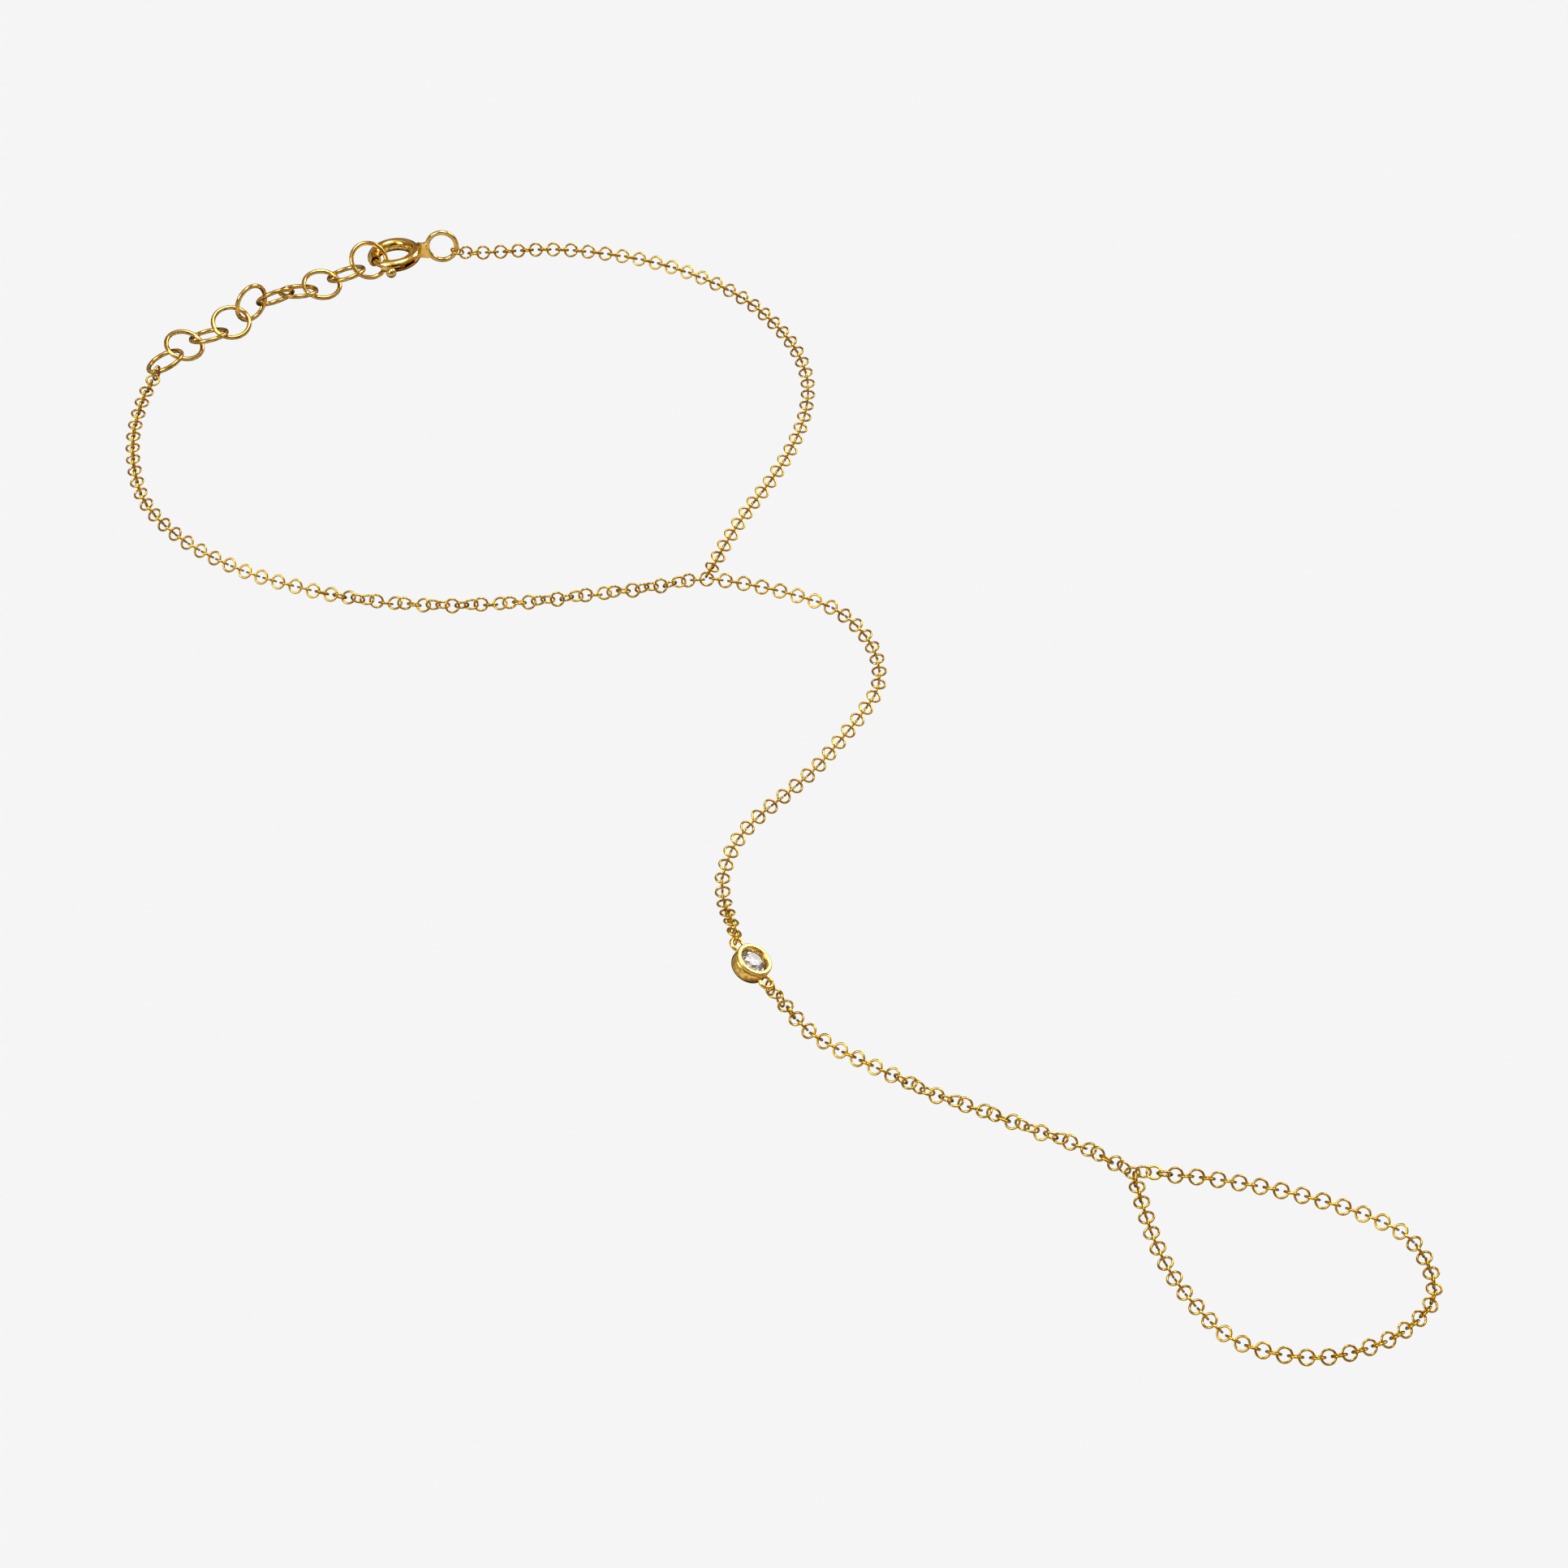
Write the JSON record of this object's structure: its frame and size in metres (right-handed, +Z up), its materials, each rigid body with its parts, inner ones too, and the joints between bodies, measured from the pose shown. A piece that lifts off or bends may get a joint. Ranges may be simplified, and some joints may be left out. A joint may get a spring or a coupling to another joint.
{
  "type": "hand chain bracelet",
  "caption": "Fine cable chain hand bracelet lying flat: wrist loop with spring ring clasp and ring extender, chain over the hand with a bezel set round stone, and a finger loop.",
  "frame": {"origin": "middle of the footprint of the chain as it lies, on the surface that it lies on", "axes": "+Z up from the surface, +Y from the finger loop's side to the wrist loop's side, +X to the right as the picture shows it"},
  "size_m": [0.1116, 0.1449, 0.004],
  "materials": {
    "gold": "polished",
    "bolt_gold": "polished",
    "diamond": "polished"
  },
  "bodies": {
    "bracelet": {"clasp_ring": "gold", "extender_ring_1": "gold", "extender_ring_2": "gold", "extender_ring_3": "gold", "extender_ring_4": "gold", "extender_ring_5": "gold", "extender_ring_6": "gold", "extender_ring_7": "gold", "extender_ring_8": "gold", "extender_ring_9": "gold", "extender_ring_10": "gold", "jump_ring": "gold", "wrist_chain_left": "gold", "wrist_chain_right": "gold", "wrist_junction_link": "gold", "hand_chain_upper": "gold", "bezel": "gold", "stone": "diamond", "hand_chain_lower": "gold", "finger_junction_link": "gold", "finger_chain": "gold"},
    "bolt": {"clasp_bolt": "bolt_gold"}
  },
  "joints": [
    {"name": "bolt_turn", "type": "hinge", "parent": "bracelet", "child": "bolt", "pos_m": [-0.0324, 0.06975, 0.00123], "axis": [-0.0888, 0.0759, 0.9932], "range_deg": [0, 51], "stiffness_Nm_per_rad": 0.002, "springref_deg": -11.46}
  ]
}
